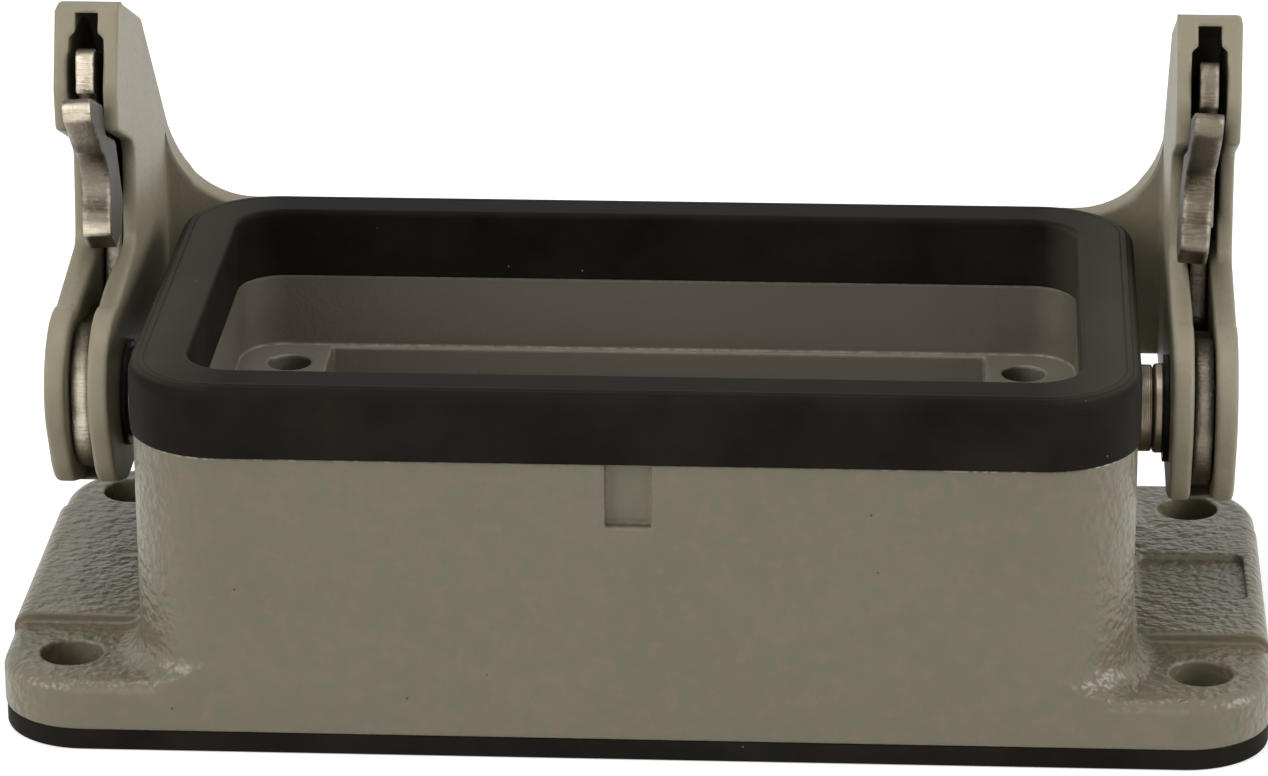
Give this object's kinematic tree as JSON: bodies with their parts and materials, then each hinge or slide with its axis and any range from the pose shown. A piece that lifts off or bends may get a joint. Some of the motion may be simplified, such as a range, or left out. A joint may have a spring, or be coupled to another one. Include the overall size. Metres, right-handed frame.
{
  "type": "heavy duty rectangular connector",
  "caption": "Bulkhead base housing of a rectangular industrial connector, empty, with a flange, a rim seal and a locking lever whose steel hooks hold the mating hood.",
  "frame": {"origin": "centre of the mounting hole pattern, on the panel face under the flange gasket", "axes": "+X along the long side, +Y towards the lever's cross bar, +Z away from the panel, towards the mating hood"},
  "size_m": [0.0934, 0.0482, 0.0493],
  "materials": {
    "cast_housing": "die cast, powder coated grey-beige with a fine orange-peel surface outside, bare and dull inside",
    "seal_rubber": "matte moulded rubber",
    "gasket_rubber": "matte cut rubber",
    "lever_plastic": "satin moulded plastic",
    "catch_steel": "stamped stainless steel with rough cut edges",
    "pin_steel": "dull turned steel",
    "bush_plastic": "matte black"
  },
  "bodies": {
    "base": {"housing": "cast_housing", "rim_seal": "seal_rubber", "flange_gasket": "gasket_rubber", "pivot_pin_left": "pin_steel", "pivot_pin_right": "pin_steel"},
    "lever": {"lever_frame": "lever_plastic", "catch_plate_left": "catch_steel", "catch_plate_right": "catch_steel", "pivot_bush_left": "bush_plastic", "pivot_bush_right": "bush_plastic"}
  },
  "joints": [
    {"name": "lever_hinge", "type": "hinge", "parent": "base", "child": "lever", "pos_m": [0, 0, 0.0199], "axis": [-1, 0, 0], "range_deg": [0, 17.5]}
  ]
}
